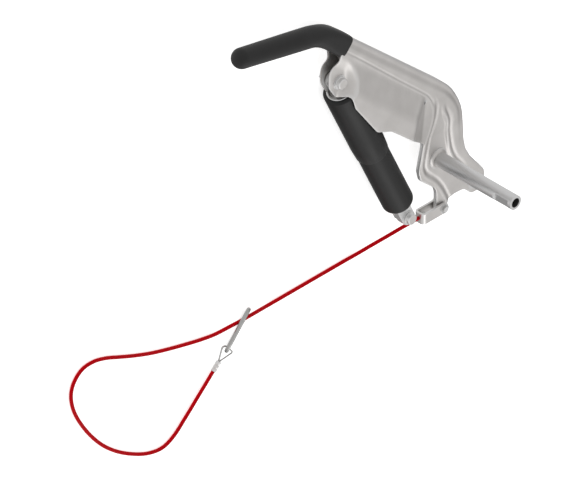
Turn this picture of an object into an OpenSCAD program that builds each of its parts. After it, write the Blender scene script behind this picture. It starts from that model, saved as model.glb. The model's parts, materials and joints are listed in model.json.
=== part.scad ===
// Handbrake lever of a trailer overrun coupling, with its gas strut and breakaway cable.
// It lies on its far side: the lever's mid plane is z = 0 and the pivot tube points up along +Z.
// The origin is where the pivot tube's axis meets the lever's mid plane.

/* [Lever] */
// Thickness of each pressed steel shell
sheet = 2.5; // [2.2:0.1:2.8]
// Thickness of one shell where the two lie face to face
plate = 3.2; // [3:0.1:3.5]
// Half width of the channel along the lever's back
spine_z = 13; // [12:0.5:14]
// Half width of the channel over the strut
bulge_z = 26; // [25.8:0.1:27]
// Inside face of the ears that hold the strut, from the mid plane
ear_in = 5.3; // [5.2:0.1:5.5]
// Outside face of those ears, from the mid plane
ear_out = 8.5; // [8:0.1:9]

/* [Pivot tube] */
// Outside diameter of the pivot tube
tube_d = 20; // [19:0.5:21]
// Bore of the pivot tube
tube_bore = 13; // [12:0.5:14]
// Height of the tube's free end above the mid plane
tube_top = 140; // [120:1:150]
// Hole for the brake rod in the rear lobe
rod_hole_d = 15; // [12:0.5:16]

/* [Grip] */
// Outside diameter of the grip sleeve
grip_d = 29; // [28:0.5:30]
// Outside diameter of the bent core tube
core_d = 20.5; // [19:0.5:21]

/* [Gas strut] */
// Direction of the strut in the lever's plane, in degrees
strut_angle = -65; // [-66:0.5:-64]
// Distance between the two strut bolts
strut_length = 301; // [296:1:304]
// Outside diameter of the upper, wider sleeve
sleeve_d = 45.6; // [44:0.2:46]
// Outside diameter of the lower sleeve
inner_sleeve_d = 41.6; // [40.6:0.2:41.6]
// Diameter of the two strut bolts
bolt_d = 10; // [9.5:0.1:10]

/* [Breakaway cable] */
// Diameter of the coated cable
cable_d = 5; // [4:0.5:5]
// Diameter of the snap hook's wire
hook_wire = 5.6; // [5:0.2:5.6]
// Distance between the centres of the snap hook's two bars
hook_gap = 21; // [20.5:0.5:22]

/* [Hidden] */
$fn = 48;

fit = 0.05;            // radial clearance of a turning or sliding fit
gap = 0.4;             // free space between bodies that don't touch
pin_r = 4;             // radius of the clevis pin's bore
rod_r = 5;             // radius of the gas strut's rod
steel = "gainsboro";
dark = "dimgray";

// Where things are in the lever's plane
bolt_at = [-182, 210];
pin_at = [6, -78];
lobe_at = [67, -68];
tip_at = [-344, 322];
elbow_at = [-208, 292];
sleeve_end_at = [-169.5, 257.6];

// Unit vector of a 2D or 3D vector
function unit(v) = v / norm(v);
// Angle of a 2D vector
function heading(v) = atan2(v[1], v[0]);
// Turn from one angle to another the short way round
function turn(a, b) = let (d = (b - a) % 360) d > 180 ? d - 360 : d < -180 ? d + 360 : d;
// One corner [x, y, radius] of an outline, as an arc between its two neighbours
function corner(a, b, c) =
    b[2] == 0 ? [[b[0], b[1]]] :
    let (p = [b[0], b[1]], u = unit([a[0], a[1]] - p), v = unit([c[0], c[1]] - p),
         half = acos(u * v) / 2, centre = p + unit(u + v) * b[2] / sin(half),
         start = heading(p + u * b[2] / tan(half) - centre),
         sweep = turn(start, heading(p + v * b[2] / tan(half) - centre)),
         steps = max(2, ceil(abs(sweep) / 12)))
    [for (i = [0 : steps]) centre + b[2] * [cos(start + sweep * i / steps), sin(start + sweep * i / steps)]];
// An outline of corners [x, y, radius]
function outline(p) = let (n = len(p))
    [for (i = [0 : n - 1]) each corner(p[(i + n - 1) % n], p[i], p[(i + 1) % n])];

// Part of the lever where the two shells lie face to face
lower_outline = outline([[-22, 46, 0], [-36.5, -15, 18], [-3.5, -45.5, 14], [-2.5, -87, 8.5],
    [15, -87, 8.5], [15.5, -77, 3], [35, -67, 22], [58, -85.3, 6], [84, -85.3, 17],
    [84, -61, 12], [49.5, -14, 30], [40.5, 30, 0], [20, 60, 0]]);
// Channel that opens towards the strut, seen from the side, down to its foot and at its face
channel_foot = outline([[-178.6, 247.6, 0], [-160.4, 267.6, 0], [41, 82, 130], [41, 10, 0],
    [-24, 36, 0], [-107, 105, 0], [-130, 118, 0], [-170, 172, 0], [-176, 232, 0]]);
channel_face = outline([[-176, 244, 0], [-165, 262, 0], [33, 79, 110], [33, 52, 0],
    [-22, 60, 0], [-107, 105, 0], [-130, 118, 0], [-170, 172, 0], [-174, 232, 0]]);
channel_void = outline([[-190, 252, 0], [-161, 265, 0], [36, 82, 120], [36, 34, 0],
    [-24, 40, 0], [-110, 80, 0], [-190, 150, 0], [-200, 232, 0]]);
channel_void_face = outline([[-190, 252, 0], [-164, 260, 0], [30, 77, 105], [30, 58, 0],
    [-22, 64, 0], [-110, 80, 0], [-190, 150, 0], [-200, 232, 0]]);
// Raised cover over the strut, at its foot and at its face
bulge_foot = outline([[-176, 244, 0], [-168, 248, 0], [-30, 119, 30], [-12, 86, 30], [-20, 38, 0],
    [-28, 37, 0], [-107, 105, 0], [-130, 118, 0], [-170, 172, 0], [-175, 220, 0]]);
bulge_face = outline([[-168, 225, 8], [-160, 228, 8], [-52, 126, 12], [-50, 57, 0],
    [-107, 105, 0], [-130, 118, 0], [-170, 172, 0], [-171, 190, 0]]);
bulge_void = outline([[-190, 244, 0], [-170, 245, 0], [-33, 118, 28], [-15, 85, 28], [-23, 40, 0],
    [-110, 70, 0], [-200, 150, 0], [-200, 220, 0]]);
bulge_void_face = outline([[-190, 222, 0], [-160, 224, 0], [-54.5, 124, 10], [-52.5, 50, 0],
    [-110, 70, 0], [-200, 150, 0], [-200, 190, 0]]);
// Ear round the strut bolt
ear_outline = outline([[-196.5, 226, 8], [-184, 232, 4], [-160, 232, 0], [-160, 196, 0],
    [-166, 190, 0], [-186.5, 189, 3], [-197.5, 206, 8]]);

// A slab between two heights
module slab(points, low, high) {
    translate([0, 0, low]) linear_extrude(high - low) polygon(points);
}

// Solid between an outline low down and a smaller one higher up
module draft(foot, face, low, high) {
    hull() {
        slab(foot, low, low + 0.5);
        slab(face, high - 0.5, high);
    }
}

// A round tube or bar along Z
module ring(outer, inner, low, high) {
    translate([0, 0, low]) difference() {
        cylinder(h = high - low, r = outer);
        translate([0, 0, -1]) cylinder(h = high - low + 2, r = inner);
    }
}

// A closed tube of round rings along a path, of one radius or a radius for each ring
function ring_at(p, way, r, sides) = let (side = unit(cross(way, [0, 0, 1])), up = cross(side, way))
    [for (k = [0 : sides - 1]) p + r * (cos(360 * k / sides) * side + sin(360 * k / sides) * up)];
module swept(path, r, sides) {
    n = len(path);
    points = [for (i = [0 : n - 1]) each ring_at(path[i],
        unit(path[min(i + 1, n - 1)] - path[max(i - 1, 0)]), is_list(r) ? r[i] : r, sides)];
    caps = [[for (k = [sides - 1 : -1 : 0]) k], [for (k = [0 : sides - 1]) (n - 1) * sides + k]];
    walls = [for (i = [0 : n - 2]) for (k = [0 : sides - 1]) let (j = (k + 1) % sides)
        [i * sides + k, i * sides + j, (i + 1) * sides + j, (i + 1) * sides + k]];
    polyhedron(points, concat(caps, walls));
}

module at_bolt() translate([bolt_at[0], bolt_at[1], 0]) children();
module at_pin() translate([pin_at[0], pin_at[1], 0]) children();

// One pressed shell of the lever, on the +Z side
module shell() {
    difference() {
        union() {
            difference() {
                union() {
                    slab(lower_outline, 0, plate);
                    draft(channel_foot, channel_face, 0, spine_z);
                    draft(bulge_foot, bulge_face, spine_z - 4, bulge_z);
                }
                draft(channel_void, channel_void_face, -1, spine_z - sheet);
                draft(bulge_void, bulge_void_face, spine_z - 4 - sheet, bulge_z - sheet);
                at_bolt() translate([0, 0, -1]) cylinder(h = bulge_z + 2, r = 16);
            }
            slab(lower_outline, 0, plate);
            intersection() {
                at_bolt() cylinder(h = ear_out, r = 20.4);
                slab(ear_outline, ear_in, ear_out);
            }
            intersection() {
                at_bolt() ring(18.5, 16, ear_in, bulge_z - 1);
                draft(channel_foot, bulge_face, 0, bulge_z - 1);
            }
        }
        translate([0, 0, -1]) cylinder(h = plate + 2, r = tube_seat + fit / 2);
        translate([sleeve_end_at[0], sleeve_end_at[1], 0]) rotate([0, 0, heading(grip_out)])
            rotate([0, 90, 0]) translate([0, 0, -30]) cylinder(h = 30 + core_tail, r = core_d / 2 + fit);
        translate([lobe_at[0], lobe_at[1], -1]) cylinder(h = plate + 2, d = rod_hole_d);
        at_pin() translate([0, 0, -1]) cylinder(h = plate + 2, r = pin_r + fit);
        at_bolt() translate([0, 0, -1]) cylinder(h = bulge_z, d = bolt_d + 0.4);
        translate([-39, 110, 0]) cylinder(h = bulge_z + 1, d = 4);
    }
}

module lever_shell_near() { color(steel) shell(); }
module lever_shell_far() { color(steel) mirror([0, 0, 1]) shell(); }

// Pivot tube, turned down where it passes through the shells, with a flat milled near its free end
tube_foot = 8;
tube_seat = tube_d / 2 - 0.3;
module pivot_tube() {
    flat = [109, 135];
    depth = 2.8;
    color(steel) difference() {
        union() {
            ring(tube_seat, tube_bore / 2, -tube_foot, tube_foot);
            ring(tube_d / 2, tube_bore / 2, tube_foot, tube_top);
        }
        rotate(195) translate([tube_d / 2 - depth, -tube_d, flat[0]])
            cube([tube_d, 2 * tube_d, flat[1] - flat[0]]);
    }
}

// Weld fillets that join the tube to both shells
module tube_weld_rings() {
    r = tube_seat;
    color(steel) for (side = [0, 1]) mirror([0, 0, side])
        rotate_extrude() polygon([[r, plate], [r + 5, plate], [r + 2, plate + 2], [r, plate + 4.5]]);
}

// Centre line of the grip: straight, an arc of radius bend, straight
bend = 85;
core_tail = 40;        // how far the core tube reaches into the shells
grip_in = unit(elbow_at - tip_at);
grip_out = unit(sleeve_end_at - elbow_at);
grip_turn = turn(heading(grip_in), heading(grip_out));
bend_run = bend * tan(abs(grip_turn) / 2);
bend_start = elbow_at - grip_in * bend_run;
bend_centre = bend_start + bend * [grip_in[1], -grip_in[0]];
bend_from = heading(bend_start - bend_centre);
function flat(p) = [p[0], p[1], 0];
function grip_line(start, finish) = [flat(start),
    for (i = [0 : 6]) let (a = bend_from + grip_turn * i / 6) flat(bend_centre + bend * [cos(a), sin(a)]),
    flat(finish)];

module grip_core() {
    r = core_d / 2;
    tail = sleeve_end_at + core_tail * grip_out;
    color(dark) difference() {
        swept(grip_line(tip_at, tail), r, 32);
        swept(grip_line(tip_at - 5 * grip_in, tail + 5 * grip_out), r - 2, 32);
    }
}

module grip_sleeve() {
    r = grip_d / 2;
    line = grip_line(tip_at, sleeve_end_at);
    dome = [for (a = [15 : 15 : 75]) flat(tip_at - r * cos(a) * grip_in)];
    radii = [for (a = [15 : 15 : 75]) r * sin(a), for (p = line) r];
    color([0.1, 0.1, 0.1]) difference() {
        swept(concat(dome, line), radii, 32);
        swept(grip_line(tip_at - 0.2 * grip_in, sleeve_end_at + 2 * grip_out), core_d / 2, 32);
    }
}

// A hexagon head or nut round a point on Z
module hexagon(across, low, high) {
    translate([0, 0, low]) cylinder(h = high - low, d = across / cos(30), $fn = 6);
}

// Bolt along Z: round flanged head on top, thread end below
module strut_bolt(head_low, end_low) {
    translate([0, 0, end_low]) cylinder(h = head_low - end_low + 1, r = bolt_d / 2 - fit);
    translate([0, 0, head_low]) cylinder(h = 1.5, r = 8.6);
    translate([0, 0, head_low + 1.5]) cylinder(h = 5, r = 7.5);
}
washer = 1.5;
module strut_washers(inner_face) {
    for (side = [0, 1]) mirror([0, 0, side]) ring(10, bolt_d / 2, inner_face, inner_face + washer);
}
module strut_nut(top) {
    difference() {
        hexagon(16, top - 8, top);
        translate([0, 0, top - 9]) cylinder(h = 10, r = bolt_d / 2 - fit);
    }
}

module strut_bolt_upper() { color(steel) at_bolt() strut_bolt(ear_out + washer, -ear_out - washer - 9.5); }
module strut_washers_upper() { color(steel) at_bolt() strut_washers(ear_out); }
module strut_nut_upper() { color(steel) at_bolt() strut_nut(-ear_out - washer); }

// Strut's own frame: X runs from the upper bolt to the lower one
module at_strut() at_bolt() rotate([0, 0, strut_angle]) children();
// The same with the turned profile's axis along the strut
module turned() at_strut() rotate([0, 90, 0]) rotate_extrude() children();

// Places along the strut, from the upper bolt
cap_at = 21.5;
taper_at = 138;
sleeve_end = 157;
inner_top = 112;
inner_end = 271;
cylinder_end = 172;
eye_half = ear_in - gap;
bush_r = 8;

// Flat eye with a round end, from the eye's centre towards the strut's body
module strut_eye(width, reach) {
    difference() {
        union() {
            translate([0, 0, -eye_half]) cylinder(h = 2 * eye_half, r = width / 2);
            translate([0, -width / 2, -eye_half]) cube([reach, width, 2 * eye_half]);
        }
        translate([0, 0, -eye_half - 1]) cylinder(h = 2 * eye_half + 2, r = bush_r);
    }
}
module strut_eye_upper() { color(dark) at_strut() strut_eye(22, cap_at); }
module strut_bush_upper() { color("goldenrod") at_bolt() ring(bush_r, bolt_d / 2, -eye_half, eye_half); }

module strut_top_cap() {
    r = 17.6;
    color(steel) turned() polygon([[0, cap_at], [r - 4, cap_at], [r - 4, cap_at + 1], [r - 2.5, cap_at + 1],
        [r - 2.5, cap_at], [r, cap_at], [r, cap_at + 5], [r - 2, cap_at + 8], [0, cap_at + 8]]);
}

module strut_outer_sleeve() {
    r = sleeve_d / 2;
    bore = inner_sleeve_d / 2 + 0.3;
    color([0.12, 0.12, 0.12]) turned() polygon([[17.6, cap_at + 0.5], [r - 3, cap_at + 0.5],
        [r - 0.9, cap_at + 1.4], [r, cap_at + 3.5], [r, taper_at], [r - 1, sleeve_end],
        [bore, sleeve_end], [bore, cap_at + 5], [17.6, cap_at + 5]]);
}

cylinder_r = 14;
cylinder_bore = 12.5;
module gas_cylinder() {
    color(dark) turned() polygon([[0, cap_at + 8], [cylinder_r, cap_at + 8], [cylinder_r, cylinder_end],
        [cylinder_bore, cylinder_end], [cylinder_bore, cap_at + 12], [0, cap_at + 12]]);
}
module rod_guide() {
    color("goldenrod") turned() translate([rod_r + fit, cylinder_end - 12])
        square([cylinder_bore - rod_r - fit, 12]);
}
module gas_piston() {
    color("slategray") turned() translate([0, 140]) square([cylinder_bore - fit, 12]);
}
module piston_rod() {
    color("silver") turned() translate([0, 152]) square([rod_r, 106]);
}
module strut_inner_sleeve() {
    r = inner_sleeve_d / 2;
    color([0.12, 0.12, 0.12]) turned() polygon([[18.4, inner_top], [r, inner_top], [r, inner_end - 4],
        [r - 1.2, inner_end - 1.2], [r - 4, inner_end], [14, inner_end], [14, inner_end - 7],
        [18.4, inner_end - 7]]);
}
module strut_end_plug() {
    color(steel) turned() polygon([[0, inner_end - 13], [18.4, inner_end - 13], [18.4, inner_end - 7],
        [14, inner_end - 7], [14, inner_end], [0, inner_end]]);
}
module at_lower() at_strut() translate([strut_length, 0, 0]) children();
module strut_eye_lower() {
    color(steel) at_lower() rotate([0, 0, 180]) strut_eye(21, strut_length - inner_end);
}
module strut_bush_lower() { color("goldenrod") at_lower() ring(bush_r, bolt_d / 2, -eye_half, eye_half); }
module strut_bolt_lower() {
    color(steel) at_lower() strut_bolt(eye_half + washer, -eye_half - washer - 9.5);
}
module strut_washers_lower() { color(steel) at_lower() strut_washers(eye_half); }
module strut_nut_lower() { color(steel) at_lower() strut_nut(-eye_half - washer); }

// Clevis: a U of strip steel, open round the lever's lower tab
clevis_in = 5.4;
clevis_out = 8.4;
clevis_h = 15.2;
clevis_end = -31.5;
module cable_clevis() {
    color(steel) difference() {
        union() {
            at_pin() translate([0, 0, -clevis_out]) cylinder(h = 2 * clevis_out, d = clevis_h);
            translate([clevis_end, pin_at[1] - clevis_h / 2, -clevis_out])
                cube([pin_at[0] - clevis_end, clevis_h, 2 * clevis_out]);
        }
        translate([clevis_end + 3, pin_at[1] - clevis_h, -clevis_in])
            cube([100, 2 * clevis_h, 2 * clevis_in]);
        at_pin() translate([0, 0, -20]) cylinder(h = 40, r = pin_r);
        translate([clevis_end - 1, pin_at[1], 0]) rotate([0, 90, 0]) cylinder(h = 10, d = 3.4);
    }
}
module clevis_pin() {
    color("silver") at_pin() {
        translate([0, 0, -clevis_out - 2.5]) cylinder(h = 2.5, r = 6);
        translate([0, 0, -clevis_out]) cylinder(h = 2 * clevis_out + 3.6, r = pin_r - fit / 2);
    }
}
module clevis_washer() { color("silver") at_pin() ring(6.8, pin_r + 0.1, clevis_out, clevis_out + 1.2); }
module clevis_clip() {
    color("silver") at_pin() difference() {
        ring(5.8, pin_r, clevis_out + 1.2, clevis_out + 2.2);
        translate([-1.5, -10, clevis_out + 1]) cube([3, 10, 2]);
    }
}
// Swaged button inside the clevis that holds the cable's core
module cable_stop() {
    color(dark) translate([clevis_end + 3, pin_at[1], 0]) rotate([0, 90, 0]) cylinder(h = 8, r = 4.2);
    color(dark) translate([clevis_end, pin_at[1], 0]) rotate([0, 90, 0]) cylinder(h = 4, r = 1.7);
}

// Route of the cable: out of the clevis, down to the floor, through the snap hook, round its loop
route = [[-31.5, -78, 0], [-44, -78.5, -0.6], [-60, -82, -4.2], [-80, -89, -11], [-100, -95.5, -17.5],
    [-120, -100, -21.8], [-140, -101.4, -23.4], [-175, -101.4, -23.4], [-215, -101.4, -23.4],
    [-255, -101.2, -23.2], [-285, -98.5, -20.6], [-305, -95.5, -17.6], [-327, -94.2, -16.6],
    [-350, -95, -18.4], [-372, -97.2, -22], [-396, -94, -23.3], [-425, -87, -23.4],
    [-453, -79.5, -23.4], [-481, -71, -23.4], [-509, -60.5, -23.4], [-537, -48.5, -23.4],
    [-560, -38.5, -23.4], [-582, -32.8, -23.4], [-602, -35, -23.4], [-616, -48, -23.4],
    [-621, -66, -23.4], [-617, -89, -23.4], [-606, -114, -23.4], [-588, -143, -23.4],
    [-566, -170, -23.4], [-540, -193, -23.4], [-512, -211, -23.4], [-487, -222.5, -23.4],
    [-463, -226.5, -23.4], [-443, -218.5, -23.2], [-424, -201, -22.6], [-398, -176, -22.4],
    [-374, -153.2, -22.4]];
function spline(a, b, c, d, t) = 0.5 * ((2 * b) + (c - a) * t + (2 * a - 5 * b + 4 * c - d) * t * t
    + (3 * b - a - 3 * c + d) * t * t * t);
last = len(route) - 1;
path = [for (i = [0 : last - 1]) for (t = [0, 0.5])
        spline(route[max(i - 1, 0)], route[i], route[i + 1], route[min(i + 2, last)], t), route[last]];
module breakaway_cable() { color([0.65, 0.02, 0.04]) swept(path, cable_d / 2, 10); }

// Ferrule on the cable's end, and the triangular wire eye crimped in it
ferrule_from = route[last];
ferrule_way = unit(route[last] - route[last - 1]);
ferrule_to = ferrule_from + 14.5 * ferrule_way;
module rod(from, to, r) {
    way = to - from;
    translate(from) rotate([0, acos(way[2] / norm(way)), atan2(way[1], way[0])])
        cylinder(h = norm(way), r = r);
}
module cable_ferrule() { color(steel) rod(ferrule_from, ferrule_to, 3.4); }
eye_wire = 1.1;
eye_lead = 1.5;        // the wire's straight start, out of the ferrule
eye_left = [-360, -115.6];
eye_right = [-347, -132.8];
eye_rise = 0.42;       // how fast the eye rises away from the ferrule
eye_lean = -0.23;      // how fast it falls towards its left corner
module wire_eye() {
    apex = [ferrule_to[0], ferrule_to[1]];
    way = unit([ferrule_way[0], ferrule_way[1]]);
    aside = (eye_wire + 0.15) * [-way[1], way[0]];
    a = concat(apex + aside, [0]);
    b = concat(eye_left, [3]);
    c = concat(eye_right, [3]);
    d = concat(apex - aside, [0]);
    line = [apex + aside, apex + aside + eye_lead * way, each corner(a, b, c), each corner(b, c, d),
        apex - aside + eye_lead * way, apex - aside];
    function height(p) = ferrule_to[2] + eye_rise * max((p - apex) * way - eye_lead, 0)
        + eye_lean * (p - apex) * unit(aside);
    color("silver") swept([for (p = line) [p[0], p[1], height(p)]], eye_wire, 10);
}

// Snap hook, tilted so that one bar lies on the floor and the other is over the cable
hook_at = [-336, -106, -16.9];
hook_turn = 48.4;
hook_tilt = 35.3;
hook_half = 19;        // half of the straight bars
hook_bend = hook_gap / 2;
hinge_x = 13;
module at_hook() translate(hook_at) rotate([0, 0, hook_turn]) rotate([hook_tilt, 0, 0]) children();
module bar(x_low, x_high, y, r) translate([x_low, y, 0]) rotate([0, 90, 0]) cylinder(h = x_high - x_low, r = r);
// Half circle round one end of the hook, turning the same way at both ends
function hook_arc(side) = [for (i = [0 : 9]) let (a = 20 * i - 90)
    [side * (hook_half + hook_bend * cos(a)), side * hook_bend * sin(a), 0]];
module snap_hook_body() {
    line = concat([[hinge_x + 2.6, -hook_bend, 0]], hook_arc(1), hook_arc(-1),
        [[-hinge_x - 1.5, -hook_bend, 0]]);
    color("silver") at_hook() difference() {
        union() {
            swept(line, hook_wire / 2, 12);
            translate([hinge_x - 2.2, -hook_bend - 2.2, -1]) cube([6, 4.4, 2]);
        }
        translate([hinge_x, -hook_bend, -5]) cylinder(h = 10, r = 0.9);
    }
}
module snap_hook_gate() {
    r = 2.4;
    color("silver") at_hook() difference() {
        union() {
            bar(-hinge_x - 1, hinge_x, -hook_bend, r);
            translate([hinge_x, -hook_bend, -r + 0.1]) cylinder(h = 2 * r - 0.2, r = 2.2);
        }
        translate([hinge_x - 8, -hook_bend - 3, -1.35]) cube([12, 6, 2.7]);
        translate([hinge_x, -hook_bend, -5]) cylinder(h = 10, r = 0.9 + fit);
    }
}
module gate_rivet() {
    color("silver") at_hook() translate([hinge_x, -hook_bend, 0]) {
        translate([0, 0, -2.7]) cylinder(h = 5.4, r = 0.9);
        for (side = [0, 1]) mirror([0, 0, side]) translate([0, 0, 2.4]) cylinder(h = 0.6, r = 1.6);
    }
}
// Spring that closes the gate, in the gate's slot
module gate_spring() {
    color(dark) at_hook() translate([hinge_x - 6.5, -hook_bend, 0]) rotate([0, 90, 0]) cylinder(h = 4, r = 0.8);
}

lever_shell_near();
lever_shell_far();
pivot_tube();
tube_weld_rings();
grip_core();
grip_sleeve();
strut_bolt_upper();
strut_washers_upper();
strut_nut_upper();
strut_eye_upper();
strut_bush_upper();
strut_top_cap();
strut_outer_sleeve();
gas_cylinder();
rod_guide();
gas_piston();
piston_rod();
strut_inner_sleeve();
strut_end_plug();
strut_eye_lower();
strut_bush_lower();
strut_bolt_lower();
strut_washers_lower();
strut_nut_lower();
cable_clevis();
clevis_pin();
clevis_washer();
clevis_clip();
cable_stop();
breakaway_cable();
cable_ferrule();
wire_eye();
snap_hook_body();
snap_hook_gate();
gate_rivet();
gate_spring();
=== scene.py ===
"""Looks of a trailer handbrake lever with its gas strut and breakaway cable.

Lengths are in millimetres of the frame's own axes, unless metres are named, and MM turns
them into Blender's metres. The lever lies on its far side, and its mid plane is z = 0.
"""

import json
import math

import bmesh
import bpy
import numpy as np
from mathutils import Euler, Matrix, Vector
from mathutils.geometry import delaunay_2d_cdt


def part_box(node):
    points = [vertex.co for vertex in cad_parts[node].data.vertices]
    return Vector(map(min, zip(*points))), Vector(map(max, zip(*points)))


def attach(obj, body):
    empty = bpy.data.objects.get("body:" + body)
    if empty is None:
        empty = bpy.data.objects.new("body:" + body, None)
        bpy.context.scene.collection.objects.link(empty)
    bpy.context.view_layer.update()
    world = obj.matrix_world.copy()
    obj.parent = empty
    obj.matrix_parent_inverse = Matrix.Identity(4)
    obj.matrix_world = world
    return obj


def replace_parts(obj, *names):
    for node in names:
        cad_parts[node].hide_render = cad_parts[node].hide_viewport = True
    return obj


MM = 0.001
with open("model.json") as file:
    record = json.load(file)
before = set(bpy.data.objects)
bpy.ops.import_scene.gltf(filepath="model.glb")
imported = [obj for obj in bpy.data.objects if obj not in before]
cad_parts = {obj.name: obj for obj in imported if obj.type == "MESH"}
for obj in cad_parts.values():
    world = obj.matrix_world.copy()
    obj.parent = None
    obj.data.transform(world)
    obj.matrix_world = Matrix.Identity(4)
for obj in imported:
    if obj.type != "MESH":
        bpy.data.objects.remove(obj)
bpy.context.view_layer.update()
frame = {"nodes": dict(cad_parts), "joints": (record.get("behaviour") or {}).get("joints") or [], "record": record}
joints = {j["name"]: j for j in frame["joints"]}
record = frame["record"]

BOLT = Vector(joints["strut_swing"]["pos_m"]) / MM
PIN = Vector(joints["clevis_swing"]["pos_m"]) / MM
STRUT_WAY = -Vector(joints["strut_slide"]["axis"])
FLOOR_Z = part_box("lever_shell_far")[0].z / MM

# ---------------------------------------------------------------- small tools


def smooth(t):
    """Smooth step from 0 to 1."""
    t = np.clip(t, 0, 1)
    return t * t * (3 - 2 * t)


def ramp(v, low, high):
    """Smooth step of v from low to high."""
    return smooth((v - low) / (high - low))


def unit2(v):
    """The vector at length 1."""
    return v / np.linalg.norm(v)


def rounded(points, step, closed=False):
    """2D corners [x, y, radius] as a line, each corner an arc with a point every step degrees."""
    n = len(points)
    line = []
    for i, (x, y, r) in enumerate(points):
        p = np.array([x, y], float)
        ends = not closed and i in (0, n - 1)
        if r == 0 or ends:
            line.append(p)
            continue
        a = np.array(points[i - 1][:2], float)
        c = np.array(points[(i + 1) % n][:2], float)
        u, v = unit2(a - p), unit2(c - p)
        half = math.acos(np.clip(u @ v, -1, 1)) / 2
        centre = p + unit2(u + v) * r / math.sin(half)
        start = p + u * r / math.tan(half) - centre
        finish = p + v * r / math.tan(half) - centre
        a0 = math.atan2(start[1], start[0])
        sweep = (math.atan2(finish[1], finish[0]) - a0 + math.pi) % (2 * math.pi) - math.pi
        count = max(3, math.ceil(abs(math.degrees(sweep)) / step))
        for k in range(count + 1):
            t = a0 + sweep * k / count
            line.append(centre + r * np.array([math.cos(t), math.sin(t)]))
    return np.array(line)


def resampled(line, spacing, closed=False):
    """The same line with points at an even spacing."""
    pts = np.vstack([line, line[:1]]) if closed else line
    seg = np.linalg.norm(np.diff(pts, axis=0), axis=1)
    run = np.concatenate([[0], np.cumsum(seg)])
    count = max(2, int(round(run[-1] / spacing)))
    at = np.linspace(0, run[-1], count + 1)
    out = np.stack([np.interp(at, run, pts[:, k]) for k in range(pts.shape[1])], axis=1)
    return out[:-1] if closed else out


def left_of(points, line):
    """Distance of each point from a 2D line, positive on the line's left."""
    a, d = line[:-1], np.diff(line, axis=0)
    best = np.full(len(points), 1e9)
    side = np.ones(len(points))
    for start, along in zip(a, d):
        t = np.clip(((points - start) @ along) / max(along @ along, 1e-9), 0, 1)
        off = points - (start + t[:, None] * along)
        dist = np.linalg.norm(off, axis=1)
        nearer = dist < best - 1e-9
        cross = along[0] * off[:, 1] - along[1] * off[:, 0]
        best = np.where(nearer, dist, best)
        side = np.where(nearer, np.where(cross >= 0, 1, -1), side)
    return best * side


def inside(points, polygon):
    """Whether each 2D point is inside a closed polygon."""
    x, y = points[:, 0], points[:, 1]
    a = polygon
    b = np.roll(polygon, -1, axis=0)
    result = np.zeros(len(points), bool)
    for (x0, y0), (x1, y1) in zip(a, b):
        if y0 == y1:
            continue
        crosses = ((y0 > y) != (y1 > y)) & (x < (x1 - x0) * (y - y0) / (y1 - y0) + x0)
        result ^= crosses
    return result


def new_object(name, mesh, body, material):
    """A piece with one material, riding on a CAD body."""
    obj = bpy.data.objects.new(name, mesh)
    bpy.context.scene.collection.objects.link(obj)
    mesh.materials.append(material)
    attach(obj, body)
    return obj


def mesh_of(name, bm):
    """A mesh from a bmesh, its faces turned outwards."""
    bmesh.ops.recalc_face_normals(bm, faces=bm.faces)
    mesh = bpy.data.meshes.new(name)
    bm.to_mesh(mesh)
    bm.free()
    return mesh


def finished(obj, sharp):
    """Smooth shading, with the edges sharper than this angle in degrees kept crisp."""
    obj.data.shade_smooth()
    obj.data.set_sharp_from_angle(angle=math.radians(sharp))
    return obj


def applied(obj):
    """Replaces an object's mesh with what its modifiers make of it."""
    seen = obj.evaluated_get(bpy.context.evaluated_depsgraph_get())
    mesh = bpy.data.meshes.new_from_object(seen)
    obj.modifiers.clear()
    obj.data = mesh


# ---------------------------------------------------------------- camera

SIGHT = Vector((-1, 1, 1)).normalized()      # from the object towards the camera
RIGHT = Vector((1, 0, 1)).normalized()
UP = Vector((1, 2, -1)).normalized()
FRAME_WIDTH = 733.1                          # what the picture spans, in the plane of the origin
AIM_RIGHT, AIM_UP = -183.1, -106.2           # picture's centre, from the origin
TRIM = (0.233, -0.172, -0.052)               # small turn in degrees that evens out the perspective
LENS, SENSOR = 1200, 36


def add_camera():
    """A long lens on the line of sight, nearly without perspective."""
    data = bpy.data.cameras.new("camera")
    data.lens = LENS
    data.sensor_width = SENSOR
    data.clip_end = 200
    camera = bpy.data.objects.new("camera", data)
    bpy.context.scene.collection.objects.link(camera)
    away = FRAME_WIDTH * MM * LENS / SENSOR
    turn = Matrix((RIGHT, UP, SIGHT)).transposed()
    turn = turn @ Euler([math.radians(a) for a in TRIM]).to_matrix().transposed()
    aim = (RIGHT * AIM_RIGHT + UP * AIM_UP) * MM
    place = aim + turn @ Vector((0, 0, away))
    camera.matrix_world = Matrix.Translation(place) @ turn.to_4x4()
    bpy.context.scene.camera = camera


add_camera()

# ---------------------------------------------------------------- materials


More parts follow.
